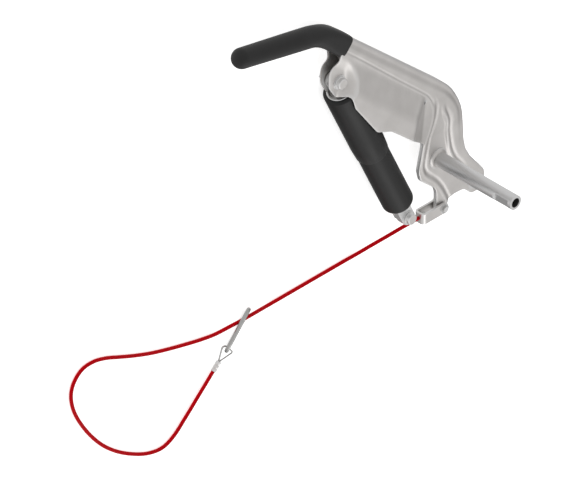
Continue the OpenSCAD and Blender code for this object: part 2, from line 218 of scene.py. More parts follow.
class Shader:
    """A node material under construction, with its Principled shader."""

    def __init__(self, name, **values):
        self.material = bpy.data.materials.new(name)
        self.material.use_nodes = True
        self.tree = self.material.node_tree
        self.bsdf = self.tree.nodes["Principled BSDF"]
        for key, value in values.items():
            self.bsdf.inputs[key.replace("_", " ")].default_value = value
        self.place = self.node("ShaderNodeTexCoord").outputs["Object"]

    def node(self, kind, **settings):
        """A new node with these settings."""
        made = self.tree.nodes.new(kind)
        for key, value in settings.items():
            setattr(made, key, value)
        return made

    def link(self, a, b):
        """Joins an output to an input."""
        self.tree.links.new(a, b)

    def noise(self, scale, detail, stretch=None, rough=0.5):
        """A noise pattern, scale counted over a metre."""
        made = self.node("ShaderNodeTexNoise")
        made.inputs["Scale"].default_value = scale
        made.inputs["Detail"].default_value = detail
        made.inputs["Roughness"].default_value = rough
        source = self.place
        if stretch:
            mapping = self.node("ShaderNodeMapping")
            mapping.inputs["Scale"].default_value = stretch
            self.link(source, mapping.inputs["Vector"])
            source = mapping.outputs["Vector"]
        self.link(source, made.inputs["Vector"])
        return made.outputs["Fac"]

    def spread(self, value, low, high, to_low=0.0, to_high=1.0):
        """The value with low to high stretched to the range given, and held there."""
        made = self.node("ShaderNodeMapRange")
        ends = {"From Min": low, "From Max": high, "To Min": to_low, "To Max": to_high}
        for key, number in ends.items():
            made.inputs[key].default_value = number
        self.link(value, made.inputs["Value"])
        return made.outputs["Result"]

    def mixed(self, factor, a, b):
        """A colour between a and b, each a colour or a socket."""
        made = self.node("ShaderNodeMix", data_type="RGBA")
        self.link(factor, made.inputs["Factor"])
        for key, value in (("A", a), ("B", b)):
            socket = [s for s in made.inputs if s.name == key and s.type == "RGBA"][0]
            if isinstance(value, tuple):
                socket.default_value = (*value, 1)
            else:
                self.link(value, socket)
        return [s for s in made.outputs if s.type == "RGBA"][0]

    def added(self, a, b, scale):
        """a plus b times scale."""
        made = self.node("ShaderNodeMath", operation="MULTIPLY_ADD")
        made.inputs[1].default_value = scale
        self.link(b, made.inputs[0])
        self.link(a, made.inputs[2])
        return made.outputs["Value"]

    def colour(self, socket):
        """Sets the base colour."""
        self.link(socket, self.bsdf.inputs["Base Color"])

    def roughness(self, socket):
        """Sets the roughness."""
        self.link(socket, self.bsdf.inputs["Roughness"])

    def bump(self, height, depth_mm):
        """Sets a bump of this depth."""
        made = self.node("ShaderNodeBump")
        made.inputs["Strength"].default_value = 1.0
        made.inputs["Distance"].default_value = depth_mm * MM
        self.link(height, made.inputs["Height"])
        self.link(made.outputs["Normal"], self.bsdf.inputs["Normal"])

    def within(self, radius):
        """1 nearer than radius to the z axis, 0 elsewhere."""
        flat = self.node("ShaderNodeVectorMath", operation="MULTIPLY")
        flat.inputs[1].default_value = (1, 1, 0)
        self.link(self.place, flat.inputs[0])
        length = self.node("ShaderNodeVectorMath", operation="LENGTH")
        self.link(flat.outputs["Vector"], length.inputs[0])
        test = self.node("ShaderNodeMath", operation="LESS_THAN")
        test.inputs[1].default_value = radius
        self.link(length.outputs["Value"], test.inputs[0])
        return test.outputs["Value"]

    def edges(self, low=0.51, high=0.56):
        """1 on sharp convex edges, 0 elsewhere."""
        made = self.node("ShaderNodeNewGeometry")
        return self.spread(made.outputs["Pointiness"], low, high)


def sheet_steel(name, tone, rough=0.42, grain=0.012, bore=0.0):
    """Satin zinc-plated steel: faint clouds, a fine grain and rubbed edges; painted shade inside a bore."""
    s = Shader(name, Metallic=0.85)
    dark = (tone * 0.94, tone * 0.91, tone * 0.885)
    light = (tone * 1.04, tone * 1.01, tone * 0.985)
    cloud = s.noise(28, 4)
    fine = s.noise(900, 2)
    base = s.mixed(s.spread(cloud, 0.35, 0.65), dark, light)
    base = s.mixed(s.edges(), base, (tone * 1.12,) * 3)
    # Painted shade: nearer than the bore radius to the z axis, the colour drops to 0.3 of the tone.
    if bore:
        base = s.mixed(s.within(bore * MM), base, (tone * 0.3,) * 3)
    s.colour(base)
    s.roughness(s.spread(s.added(cloud, fine, 0.6), 0.5, 1.1, rough - 0.05, rough + 0.06))
    s.bump(s.added(fine, s.noise(170, 3), 1.5), grain)
    return s.material


def machined_steel(name, tone):
    """Turned or drawn steel: smoother, with faint lines across z."""
    rough = 0.3
    s = Shader(name, Metallic=0.95)
    lines = s.noise(60, 2, stretch=(1, 1, 25))
    base = s.mixed(s.spread(s.noise(45, 3), 0.3, 0.7),
                   (tone * 0.92, tone * 0.92, tone * 0.91), (tone, tone, tone * 0.99))
    s.colour(s.mixed(s.edges(), base, (tone * 1.1, tone * 1.1, tone * 1.08)))
    s.roughness(s.spread(lines, 0.3, 0.7, rough - 0.05, rough + 0.08))
    s.bump(lines, 0.006)
    return s.material


def moulded_black(name, tone, rough, grain_scale, grain_depth, sheen, specular):
    """Black plastic or soft vinyl: fine leathery grain, uneven gloss and greyed edges."""
    s = Shader(name, Metallic=0.0, IOR=1.46, Specular_IOR_Level=specular)
    s.bsdf.inputs["Sheen Weight"].default_value = sheen
    s.bsdf.inputs["Sheen Roughness"].default_value = 0.4
    grain = s.noise(grain_scale, 4, rough=0.6)
    cloud = s.noise(35, 3)
    light = (tone * 1.15, tone * 1.15, tone * 1.17)
    base = s.mixed(s.spread(cloud, 0.35, 0.65), (tone * 0.8,) * 3, light)
    s.colour(s.mixed(s.edges(0.52, 0.6), base, (tone * 2.2,) * 3))
    s.roughness(s.spread(s.added(cloud, grain, 0.7), 0.55, 1.15, rough - 0.06, rough + 0.08))
    s.bump(grain, grain_depth)
    return s.material


STRANDS = 6.0            # slanting strand lines in one turn of the cable


def coated_cable():
    """Red coat over a wire rope, whose strands show through as faint slanting lines."""
    s = Shader("cable_coat", Metallic=0.0, IOR=1.5, Specular_IOR_Level=0.04)
    uv = s.node("ShaderNodeUVMap", uv_map="UVMap").outputs["UV"]
    wave = s.node("ShaderNodeTexWave", wave_type="BANDS", bands_direction="DIAGONAL")
    wave.inputs["Scale"].default_value = 1.0
    mapping = s.node("ShaderNodeMapping")
    mapping.inputs["Scale"].default_value = (STRANDS, STRANDS, 1.0)
    s.link(uv, mapping.inputs["Vector"])
    s.link(mapping.outputs["Vector"], wave.inputs["Vector"])
    strands = wave.outputs["Fac"]
    cloud = s.noise(60, 2)
    deep = s.mixed(s.spread(cloud, 0.3, 0.7), (0.33, 0.0, 0.002), (0.39, 0.0, 0.003))
    s.colour(s.mixed(s.spread(strands, 0.2, 0.8), deep, (0.48, 0.0, 0.005)))
    s.roughness(s.spread(cloud, 0.3, 0.7, 0.28, 0.4))
    s.bump(strands, 0.03)
    return s.material


def bronze(name):
    """Sintered bronze with darker pores."""
    s = Shader(name, Metallic=1.0)
    pores = s.noise(1400, 2)
    s.colour(s.mixed(s.spread(pores, 0.3, 0.6), (0.30, 0.19, 0.09), (0.55, 0.38, 0.18)))
    s.roughness(s.spread(pores, 0.3, 0.7, 0.3, 0.5))
    s.bump(pores, 0.01)
    return s.material


BORE_SHADE_R = 6.6        # just over the radius of the pivot tube's bore, inside which the tube gets painted shade
SHELL = sheet_steel("pressed_steel", 0.61)
# The tube's steel carries painted shade inside its bore.
TUBE = sheet_steel("tube_steel", 0.58, rough=0.38, bore=BORE_SHADE_R)
ZINC = sheet_steel("zinc_plate", 0.64, rough=0.34, grain=0.008)
RAW = machined_steel("machined_steel", 0.45)
WIRE = machined_steel("bright_wire", 0.40)
BUSH = bronze("sintered_bronze")
GRIP = moulded_black("grip_vinyl", tone=0.014, rough=0.52, grain_scale=650, grain_depth=0.05,
                     sheen=0.03, specular=0.32)
SLEEVE = moulded_black("sleeve_plastic", tone=0.008, rough=0.40, grain_scale=1100,
                       grain_depth=0.02, sheen=0.0, specular=0.32)
CABLE = coated_cable()
SLOT_MATERIAL = {"painted_steel": SHELL, "tube_steel": TUBE, "zinc": ZINC, "raw_steel": RAW,
                 "bronze": BUSH, "grip_black": GRIP, "sleeve_black": SLEEVE,
                 "cable_red": CABLE, "wire": WIRE}


def dress_cad_nodes():
    """Every CAD node gets the node material of its slot."""
    for sub in record["subparts"]:
        node = frame["nodes"][sub["node"]]
        node.data.materials.clear()
        node.data.materials.append(SLOT_MATERIAL[sub["material_slot"]])
        node.data.shade_smooth()


# ---------------------------------------------------------------- breakaway cable

CABLE_D = 5.0
FERRULE_R, FERRULE_LENGTH = 3.4, 14.45
WAISTS_AT, WAIST_DEPTH = (4.6, 9.2), 0.4         # the ferrule's crimps
SPLINE_STEPS = 10

# The cable's centre line, from the clevis round its loop to the ferrule, as in the CAD source
ROUTE = [
    (-31.5, -78, 0), (-44, -78.5, -0.6), (-60, -82, -4.2), (-80, -89, -11), (-100, -95.5, -17.5),
    (-120, -100, -21.8), (-140, -101.4, -23.4), (-175, -101.4, -23.4), (-215, -101.4, -23.4),
    (-255, -101.2, -23.2), (-285, -98.5, -20.6), (-305, -95.5, -17.6), (-327, -94.2, -16.6),
    (-350, -95, -18.4), (-372, -97.2, -22), (-396, -94, -23.3), (-425, -87, -23.4),
    (-453, -79.5, -23.4), (-481, -71, -23.4), (-509, -60.5, -23.4), (-537, -48.5, -23.4),
    (-560, -38.5, -23.4), (-582, -32.8, -23.4), (-602, -35, -23.4), (-616, -48, -23.4),
    (-621, -66, -23.4), (-617, -89, -23.4), (-606, -114, -23.4), (-588, -143, -23.4),
    (-566, -170, -23.4), (-540, -193, -23.4), (-512, -211, -23.4), (-487, -222.5, -23.4),
    (-463, -226.5, -23.4), (-443, -218.5, -23.2), (-424, -201, -22.6), (-398, -176, -22.4),
    (-374, -153.2, -22.4)]


def through(points):
    """A smooth line through points, the same spline as the CAD tube follows."""
    p = [np.array(q, float) for q in points]
    out = []
    for i in range(len(p) - 1):
        a, b, c, d = p[max(i - 1, 0)], p[i], p[i + 1], p[min(i + 2, len(p) - 1)]
        for k in range(SPLINE_STEPS):
            t = k / SPLINE_STEPS
            out.append(0.5 * (2 * b + (c - a) * t + (2 * a - 5 * b + 4 * c - d) * t * t
                              + (3 * b - a - 3 * c + d) * t ** 3))
    out.append(p[-1])
    return np.array(out)


def swept(name, line, section, body, material, sides=24):
    """A tube along a line. section(i, angle) gives the two offsets of a point from the line."""
    tangents = np.gradient(line, axis=0)
    tangents /= np.linalg.norm(tangents, axis=1)[:, None]
    steps = np.linalg.norm(np.diff(line, axis=0), axis=1)
    run = np.concatenate([[0], np.cumsum(steps)]) / (CABLE_D * math.pi)
    side = np.array([0, 0, 1.0])
    bm = bmesh.new()
    uv = bm.loops.layers.uv.new("UVMap")
    rings = []
    for i, (middle, tangent) in enumerate(zip(line, tangents)):
        side = side - tangent * (side @ tangent)
        side /= np.linalg.norm(side)
        other = np.cross(tangent, side)
        ring = []
        for k in range(sides):
            a, b = section(i, 2 * math.pi * k / sides)
            ring.append(bm.verts.new((middle + other * a + side * b) * MM))
        rings.append(ring)
    for i in range(len(line) - 1):
        for k in range(sides):
            j = (k + 1) % sides
            face = bm.faces.new((rings[i][k], rings[i][j], rings[i + 1][j], rings[i + 1][k]))
            for loop, u, v in zip(face.loops, (k, k + 1, k + 1, k), (i, i, i + 1, i + 1)):
                loop[uv].uv = (u / sides, run[v])
    bm.faces.new(list(reversed(rings[0])))
    bm.faces.new(rings[-1])
    mesh = mesh_of(name, bm)
    mesh.shade_smooth()
    return new_object(name, mesh, body, material)


def round_section(radius):
    """The section of a round tube, for swept()."""
    return lambda i, a: (radius * math.cos(a), radius * math.sin(a))


def turned(name, profile, origin, axis, body, material, sides=64, sharp=35):
    """A turned piece. The profile lists [place along the axis, radius]; a radius of 0 closes
    an end, and a profile that comes back to its first point closes a ring."""
    axis = Vector(axis).normalized()
    side = axis.orthogonal().normalized()
    other = axis.cross(side)
    origin = Vector(origin)
    bm = bmesh.new()
    rings = []
    for along, radius in profile:
        middle = origin + axis * along
        if radius == 0:
            rings.append([bm.verts.new(middle * MM)])
            continue
        rings.append([bm.verts.new((middle + side * radius * math.cos(2 * math.pi * k / sides)
                                    + other * radius * math.sin(2 * math.pi * k / sides)) * MM)
                      for k in range(sides)])
    for a, b in zip(rings, rings[1:]):
        for k in range(sides):
            j = (k + 1) % sides
            if len(a) == 1:
                bm.faces.new((a[0], b[j], b[k]))
            elif len(b) == 1:
                bm.faces.new((a[k], a[j], b[0]))
            else:
                bm.faces.new((a[k], a[j], b[j], b[k]))
    if profile[0] == profile[-1]:
        bmesh.ops.remove_doubles(bm, verts=bm.verts, dist=1e-6)
    return finished(new_object(name, mesh_of(name, bm), body, material), sharp)


def add_ferrule():
    """A crimped sleeve with two waists, on the cable's end."""
    start = Vector(ROUTE[-1])
    way = (Vector(ROUTE[-1]) - Vector(ROUTE[-2])).normalized()
    r, edge = FERRULE_R, FERRULE_R - 0.5
    profile = [[0, 0], [0, edge], [0.5, r]]
    waist = r - WAIST_DEPTH
    for at in WAISTS_AT:
        profile += [[at - 1.1, r], [at - 0.5, waist], [at + 0.5, waist], [at + 1.1, r]]
    profile += [[FERRULE_LENGTH - 0.45, r], [FERRULE_LENGTH, edge], [FERRULE_LENGTH, 0]]
    ferrule = turned("ferrule", profile, start, way, "cable_end", ZINC, sides=32)
    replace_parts(ferrule, "cable_ferrule")
    return ferrule


def add_cable():
    """The cable, with the ferrule on its end."""
    line = resampled(through(ROUTE), 3.0)
    cable = swept("cable", line, round_section(CABLE_D / 2), "cable_end", CABLE)
    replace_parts(cable, "breakaway_cable")
    ends = ["wire_eye", "snap_hook_body", "snap_hook_gate", "gate_rivet", "gate_spring"]
    [add_ferrule()] + [frame["nodes"][n] for n in ends]


add_cable()
dress_cad_nodes()

# ---------------------------------------------------------------- floor and light


FLOOR_HALF, FLOOR_GAP = 14.0, 0.0004     # metres: half the floor's side, and how far it lies below


def add_floor():
    """A plain pale floor, lit a little from within to stay even, and not seen in reflections."""
    z = FLOOR_Z * MM - FLOOR_GAP
    corners = [(-1, -1), (1, -1), (1, 1), (-1, 1)]
    mesh = bpy.data.meshes.new("floor")
    mesh.from_pydata([(FLOOR_HALF * x, FLOOR_HALF * y, z) for x, y in corners], [], [(0, 1, 2, 3)])
    floor = bpy.data.objects.new("floor", mesh)
    bpy.context.scene.collection.objects.link(floor)
    s = Shader("floor_paper", Roughness=0.9, Specular_IOR_Level=0.1, Emission_Strength=0.6)
    s.bsdf.inputs["Emission Color"].default_value = (1, 1, 1, 1)
    s.colour(s.mixed(s.noise(3, 2), (0.90, 0.90, 0.90), (0.92, 0.92, 0.92)))
    mesh.materials.append(s.material)
    floor.visible_glossy = False


KEY_WAY, KEY_AIM = (-0.05, -0.70, 0.71), (-0.2, 0.03, 0.0)
KEY_DISTANCE, KEY_SIZE, KEY_WATTS = 3.0, 2.3, 18


def add_softbox():
    """The square key light, KEY_DISTANCE metres away and turned to KEY_AIM."""
    data = bpy.data.lights.new("key", "AREA")
    data.shape = "SQUARE"
    data.size = KEY_SIZE
    data.energy = KEY_WATTS
    light = bpy.data.objects.new("key", data)
    bpy.context.scene.collection.objects.link(light)
    way = Vector(KEY_WAY).normalized()
    light.location = Vector(KEY_AIM) + way * KEY_DISTANCE
    light.rotation_euler = way.to_track_quat("Z", "Y").to_euler()


# Dimmer lobes of the surroundings: direction, degrees from it where each is full and where it
# ends, and what it adds to SURROUND
LOBES = [((0.86, -0.45, -0.05), 14, 36, -0.55),
         ((-0.22, -0.79, -0.58), 10, 42, -0.62)]
SURROUND = 0.80


def add_light():
    """An even bright studio with one softbox, dimmer on two sides."""
    world = bpy.data.worlds.new("studio")
    bpy.context.scene.world = world
    world.use_nodes = True
    tree = world.node_tree
    background = tree.nodes["Background"]
    way = tree.nodes.new("ShaderNodeTexCoord").outputs["Generated"]
    total = None
    for direction, full, gone, strength in LOBES:
        dot = tree.nodes.new("ShaderNodeVectorMath")
        dot.operation = "DOT_PRODUCT"
        dot.inputs[1].default_value = Vector(direction).normalized()
        tree.links.new(way, dot.inputs[0])
        lobe = tree.nodes.new("ShaderNodeMapRange")
        lobe.interpolation_type = "SMOOTHSTEP"
        lobe.inputs["From Min"].default_value = math.cos(math.radians(gone))
        lobe.inputs["From Max"].default_value = math.cos(math.radians(full))
        lobe.inputs["To Max"].default_value = strength
        tree.links.new(dot.outputs["Value"], lobe.inputs["Value"])
        add = tree.nodes.new("ShaderNodeMath")
        add.inputs[0].default_value = SURROUND
        if total:
            tree.links.new(total, add.inputs[0])
        tree.links.new(lobe.outputs["Result"], add.inputs[1])
        total = add.outputs["Value"]
    tree.links.new(total, background.inputs["Strength"])
    background.inputs["Color"].default_value = (1, 0.995, 0.99, 1)
    add_softbox()
    bpy.context.scene.view_settings.view_transform = "Standard"


add_floor()
add_light()

# ---------------------------------------------------------------- the two pressed shells

SHEET = 2.5
SEAM_GAP = 0.06          # from the mid plane to each shell's edge
PLATE = 3.2              # outer face of the lower plate, above the mid plane
CHANNEL = 13.0           # outer face of the back channel
PANEL = 26.0             # outer face of the wide panel
EAR = 8.5                # outer face of the ear round the strut's bolt
RISE_REAR = (38, 100)    # y over which the plate rises to the channel, behind ridge A
RISE_LEDGE = (30, 115)   # the same in front of it
RIM_STEP = 2.8           # how far the rim along the back lies below the channel
RIM_WIDTH = (6, 14)      # where its step starts and stops, from the back
RIM_NARROWS = 0.25       # how much narrower it gets below NARROW_Y
NARROW_Y = (60, 120)
RIM_FADE_Y, RIM_FADE = (-15, 50, 100), (0, 0.4, 1)       # its depth along the back
EDGE_ROUND, OPEN_ROUND = 3.2, 0.8        # rounding of the drawn edge and of the cut edge
OPEN_CORNER = (-26.5, 33)                # the cut edge lies left of and above this point

# [x, y, corner radius], clockwise: down the back, round the rear lobe and the tab, and up
BACK = [[-164.5, 271, 1.5], [44.5, 81.3, 131], [45, 9, 50]]
REAR = [[48.5, -8, 20], [57, -24, 12], [73, -44, 14], [84, -59, 12], [84, -85, 15], [61, -85, 10],
        [47, -71, 14], [24, -70, 16], [15, -79, 5], [15, -87, 8.9], [-3, -87, 8.9]]
LEFT = [[-2.5, -46, 20], [-31, -20, 12], [-34.5, -4, 14], [-26, 34, 3]]
OPEN_EDGE = [[-106, 105, 25], [-131, 116, 14], [-169.5, 171, 10], [-173, 183, 6],
             [-176.5, 191.5, 2.5], [-187, 188, 3], [-199.5, 208, 16], [-198.5, 233, 14],
             [-184, 240, 6], [-182.5, 251.5, 1]]

# The two ridges, from the grip's end down: the long one, and the short one beside the tube
RIDGE_A = [[-196, 275], [-172, 254], [-149, 233], [-114, 199.5], [-78, 165], [-34, 123.5],
           [-21.5, 108.5], [-15.5, 96], [-11.5, 82], [-12.5, 60], [-19.5, 31], [-25.5, 2],
           [-23, -11], [-16, -20.5], [-4, -33], [7, -49], [16, -68], [18, -75]]
RIDGE_B = [[3, 84], [7, 71], [15.5, 51], [17.5, 28], [21.5, 4], [29, -14], [39, -28], [49, -42]]

# Relief across each ridge: [from, to, rise], towards the rear
PROFILE_A = [[-5.8, -3.4, 0.5], [-2.4, 3.2, -2.4], [3.4, 7.0, 1.2]]         # below the bend
LEVEL_CHANGE = (-2.4, 3.2)       # where the ledge's level gives way to the rear's
PROFILE_BACK = [[-5.4, -3.8, 0.2], [-3.5, -1.5, -0.8], [-1.2, 1.0, 0.6]]    # along the back
PROFILE_B = [[-6.0, -2.0, 2.2], [-0.6, 3.6, -1.7], [3.9, 7.2, 1.4]]
BEND_Y = (85, 115)               # where ridge A changes from one profile to the other
RIDGE_B_LOW, RIDGE_B_HIGH = (-44, -20), (60, 90)     # y over which ridge B fades at its ends
BULGE_FOOT, BULGE_SLOPE = 27.5, 0.4      # the panel's long slope, from the back
BULGE_END, END_SLOPE = -33.0, 0.55       # its short slope, from this x
BULGE_Y = -5                             # the panel lies above this y
EAR_TOP = 238.0
EAR_FADE = (26, 43)              # from the back: the ear's level falls from the channel's
RECESS = (9.0, 24.0)             # from the bolt: where the ear rises to the panel

# (x, y, radius, points) of the holes: tube, brake rod, small panel hole, strut bolt, clevis pin
HOLES = [(0, 0, 8.6, 40), (67, -68, 7.5, 40), (-34.0, 106.5, 2.3, 14),
         (BOLT.x, BOLT.y, 4.5, 24), (PIN.x, PIN.y, 3.6, 20)]


def smaller(a, b, width):
    """The smaller of two fields, blended where they are within width of each other."""
    t = np.clip(0.5 + 0.5 * (b - a) / width, 0, 1)
    return b + (a - b) * t - width * t * (1 - t) * 0.5


def larger(a, b, width):
    """The larger of two fields, blended in the same way."""
    return -smaller(-a, -b, width)


CORNERS = BACK + REAR + LEFT + OPEN_EDGE
OUTLINE = resampled(rounded(CORNERS, closed=True, step=6), 2.4, closed=True)
BACK_CORNERS = [[-260, 358, 0]] + BACK[1:] + [REAR[0], [57, -24, 0]]     # started beyond the grip
BACK_LINE = resampled(rounded(BACK_CORNERS, step=6), 3)
LINE_A = resampled(through(RIDGE_A), 2.5)
LINE_B = resampled(through(RIDGE_B), 2.5)


def relief(t, profile):
    """Height added across a ridge, at t to its rear side."""
    return sum(rise * ramp(t, low, high) for low, high, rise in profile)


def with_bulge(z, x, y, back, t_a, ledge):
    """The face with the wide panel pressed out in front of ridge A."""
    long_slope = CHANNEL + BULGE_SLOPE * (back - BULGE_FOOT)
    short_slope = ledge + END_SLOPE * (BULGE_END - x)
    bulge = smaller(smaller(long_slope, short_slope, 5), PANEL, 3)
    in_front = (t_a < PROFILE_A[0][0]) & (y > BULGE_Y)
    return np.where(in_front, larger(z, bulge, 1.5), z)


def with_ear(z, x, y, back):
    """The face sunk to the ear round the strut's bolt."""
    below = np.clip(BOLT.y - y, 0, None) * ramp(x - BOLT.x, -14, 6)
    above = np.clip(y - EAR_TOP, 0, None)
    from_ear = np.hypot(np.clip(x - BOLT.x, 0, None), above + below)
    level = CHANNEL - (CHANNEL - EAR) * ramp(back, *EAR_FADE)
    return np.minimum(z, level + (z - level) * ramp(from_ear, *RECESS))


def height(points):
    """Height of the near shell's outer face over 2D points."""
    x, y = points[:, 0], points[:, 1]
    back = -left_of(points, BACK_LINE)
    t_a, t_b = left_of(points, LINE_A), left_of(points, LINE_B)

    rear = np.interp(y, RISE_REAR, (PLATE, CHANNEL))
    ledge = np.interp(y, RISE_LEDGE, (PLATE, CHANNEL))
    z = ledge + (rear - ledge) * ramp(t_a, *LEVEL_CHANGE)
    narrow = 1 - RIM_NARROWS * (1 - ramp(y, *NARROW_Y))
    rim = 1 - ramp(back, *(w * narrow for w in RIM_WIDTH))
    z = z - RIM_STEP * rim * np.interp(y, RIM_FADE_Y, RIM_FADE)
    along_back = ramp(y, *BEND_Y)
    z = z + (1 - along_back) * relief(t_a, PROFILE_A) + along_back * relief(t_a, PROFILE_BACK)
    strip = ramp(y, *RIDGE_B_LOW) * (1 - ramp(y, *RIDGE_B_HIGH))
    z = z + strip * relief(t_b, PROFILE_B)
    return with_ear(with_bulge(z, x, y, back, t_a, ledge), x, y, back)


def beside(line, offset):
    """A 2D line moved to its left."""
    way = np.gradient(line, axis=0)
    way /= np.linalg.norm(way, axis=1)[:, None]
    return line + offset * np.stack([-way[:, 1], way[:, 0]], axis=1)


def circle(x, y, r, count):
    """Points of a 2D circle."""
    t = np.arange(count) * 2 * math.pi / count
    return np.stack([x + r * np.cos(t), y + r * np.sin(t)], axis=1)


def thinned(points, spacing, kept):
    """The points, in order of importance, without those closer than spacing to an earlier one."""
    def cell(p):
        """The square of the grid a point lies in."""
        return int(p[0] // spacing), int(p[1] // spacing)

    cells = {}
    for p in kept:
        cells.setdefault(cell(p), []).append(p)
    out = []
    for p in points:
        i, j = cell(p)
        around = [(a, b) for a in (i - 1, i, i + 1) for b in (j - 1, j, j + 1)]
        near = [q for c in around for q in cells.get(c, [])]
        if all((p[0] - q[0]) ** 2 + (p[1] - q[1]) ** 2 >= spacing ** 2 for q in near):
            cells.setdefault((i, j), []).append(p)
            out.append(p)
    return out


# How far beside each line the mesh has rows of points, and the gaps kept between points
ROWS_A = (-5.4, -4.2, -3.1, -2.3, -1.5, -0.6, 0.3, 1.2, 2.1, 3.1, 4.1, 5.1, 6.2, 7.5)
ROWS_B = (-6.5, -5.4, -4.3, -3.2, -2.1, -1.1, -0.4, 0.4, 1.2, 2.0, 2.8, 3.6, 4.6, 6)
ROWS_A_FAR = (-4.7, -6.2)
ROWS_EAR = (10, 11.5, 13, 15, 17, 19, 21, 23)
ROWS_BACK = (5, 6.5, 8, 10, 12, 13.5, 15)
EAR_Y = np.arange(180, 256, 1.6)
GRID_X, GRID_Y, COLUMNS, LINES = -230, -90, 110, 160     # a staggered grid over the rest
GRID_STEP = (3.0, 2.6)
GAP_RIDGE, GAP_EAR, GAP_BACK, GAP_PLAIN = 0.62, 0.9, 1.1, 1.7


def off_holes(points):
    """Whether each 2D point lies outside all holes."""
    keep = np.ones(len(points), bool)
    for x, y, r, _ in HOLES:
        keep &= np.hypot(points[:, 0] - x, points[:, 1] - y) > r
    return keep


def face_points(fixed, rim):
    """Points of the shell's face within its rim, closest together over the ridges."""
    ridges = [p for offset in ROWS_A for p in beside(LINE_A, offset)]
    ridges += [p for offset in ROWS_B for p in beside(LINE_B, offset)]
    ridges += [p for offset in ROWS_A_FAR for p in beside(LINE_A, offset)]
    ear = [(BOLT.x + r, y) for r in ROWS_EAR for y in EAR_Y]
    back = [p for offset in ROWS_BACK for p in beside(BACK_LINE, -offset)]
    wide, tall = GRID_STEP
    plain = [(GRID_X + wide * i + wide / 2 * (j % 2), GRID_Y + tall * j)
             for i in range(COLUMNS) for j in range(LINES)]
    free = []
    for points, gap in ((ridges, GAP_RIDGE), (ear, GAP_EAR), (back, GAP_BACK), (plain, GAP_PLAIN)):
        free += thinned(points, gap, fixed + free)
    free = np.array(free)
    free = free[inside(free, rim)]
    return free[off_holes(free)]


def triangulated(rim):
    """Points and triangles of the face within its rim and round its holes, and the place of
    each rim point among those points."""
    loops = [circle(*hole) for hole in HOLES] + [rim]
    fixed = [p for loop in loops for p in loop]
    edges, base = [], 0
    for loop in loops:
        n = len(loop)
        edges += [(base + k, base + (k + 1) % n) for k in range(n)]
        base += n
    flat = [Vector((p[0], p[1])) for p in fixed + list(face_points(fixed, rim))]
    made = delaunay_2d_cdt(flat, edges, [], 0, 1e-5)
    points = np.array([tuple(p) for p in made[0]])
    faces = np.array(list(made[2]))
    middle = points[faces].mean(axis=1)
    faces = faces[inside(middle, rim) & off_holes(middle)]
    where = {origin: i for i, source in enumerate(made[3]) for origin in source}
    first = len(fixed) - len(rim)
    return points, faces, [where[first + k] for k in range(len(rim))]


def edge_shape():
    """For each outline point: the way inwards, the edge's rounding, and whether it was cut."""
    way = np.roll(OUTLINE, -1, axis=0) - np.roll(OUTLINE, 1, axis=0)
    way /= np.linalg.norm(way, axis=1)[:, None]
    inward = np.stack([way[:, 1], -way[:, 0]], axis=1)
    off_back = np.abs(left_of(OUTLINE, BACK_LINE)) > 3
    is_open = (OUTLINE[:, 0] < OPEN_CORNER[0]) & (OUTLINE[:, 1] > OPEN_CORNER[1]) & off_back
    drawn = np.minimum(EDGE_ROUND, 0.42 * height(OUTLINE + inward * 3))
    corner = np.where(is_open, OPEN_ROUND, drawn)
    for _ in range(6):
        corner = 0.5 * corner + 0.25 * (np.roll(corner, 1) + np.roll(corner, -1))
    return inward, corner, is_open


def shell_mesh(name):
    """The near shell's outer face with its rounded edges and side walls."""
    inward, corner, is_open = edge_shape()
    rim = OUTLINE + inward * corner[:, None]
    points, faces, rim_at = triangulated(rim)
    bm = bmesh.new()
    verts = [bm.verts.new((p[0] * MM, p[1] * MM, h * MM)) for p, h in zip(points, height(points))]
    for a, b, c in faces:
        bm.faces.new((verts[a], verts[b], verts[c]))

    top_row = [verts[i] for i in rim_at]
    n = len(rim)
    last_row = top_row
    for degrees in (30, 60, 90):
        angle = math.radians(degrees)
        row = []
        for k in range(n):
            out = (rim[k] - inward[k] * corner[k] * math.sin(angle)) * MM
            drop = corner[k] * (1 - math.cos(angle)) * MM
            row.append(bm.verts.new((out[0], out[1], top_row[k].co.z - drop)))
        for k in range(n):
            j = (k + 1) % n
            bm.faces.new((last_row[k], row[k], row[j], last_row[j]))
        last_row = row

    seam = {}                # foot of the side wall, just above the mid plane
    for k in range(n):
        j = (k + 1) % n
        if is_open[k] or is_open[j]:
            continue
        for i in (k, j):
            if i not in seam:
                co = last_row[i].co
                seam[i] = bm.verts.new((co.x, co.y, SEAM_GAP * MM))
        bm.faces.new((last_row[k], seam[k], seam[j], last_row[j]))
    bmesh.ops.remove_doubles(bm, verts=bm.verts, dist=0.02 * MM)
    loose = [v for v in bm.verts if not v.link_faces]
    bmesh.ops.delete(bm, geom=loose, context="VERTS")
    return mesh_of(name, bm)


def thickened(obj):
    """Gives a shell its sheet, inwards from the outer face, and keeps the cut edges crisp."""
    solid = obj.modifiers.new("sheet", "SOLIDIFY")
    solid.thickness = SHEET * MM
    solid.offset = -1
    solid.use_even_offset = False
    applied(obj)
    finished(obj, sharp=42)


def add_shells():
    """The near shell, and the far one as its mirror image."""
    near = new_object("shell_near", shell_mesh("shell_near"), "lever", SHELL)
    if sum(p.normal.z for p in near.data.polygons) < 0:
        near.data.flip_normals()
    thickened(near)
    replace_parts(near, "lever_shell_near")
    mirrored = near.data.copy()
    mirrored.transform(Matrix.Diagonal((1, 1, -1, 1)))
    mirrored.flip_normals()
    mirrored.materials.clear()
    mirrored.name = "shell_far"
    far = new_object("shell_far", mirrored, "lever", SHELL)
    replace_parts(far, "lever_shell_far")


add_shells()

# ---------------------------------------------------------------- grip, strut, tube and bolts

